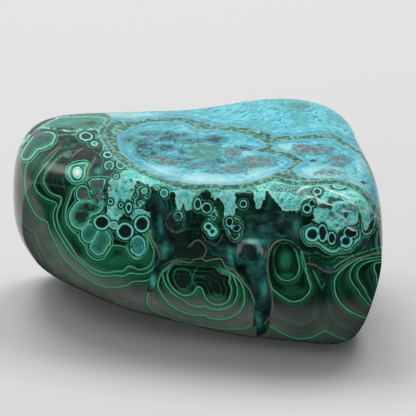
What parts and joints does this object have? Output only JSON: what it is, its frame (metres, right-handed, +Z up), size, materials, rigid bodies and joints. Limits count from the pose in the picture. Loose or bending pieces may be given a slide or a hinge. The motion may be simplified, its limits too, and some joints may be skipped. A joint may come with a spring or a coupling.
{
  "type": "malachite chrysocolla freeform",
  "caption": "Polished loaf-shaped stone of banded green malachite and turquoise chrysocolla with small open vugs, resting on a ground flat foot.",
  "frame": {"origin": "middle of the stone's outline on the surface that it rests on", "axes": "+Z up, +X along the stone's length from its rounded end to its blunt end, +Y from the banded front to the back"},
  "size_m": [0.0732, 0.0474, 0.0399],
  "materials": {
    "stone": "tumbled and polished, glassy on the faces, matt in the vugs"
  },
  "bodies": {
    "root": {"stone": "stone"}
  },
  "joints": []
}
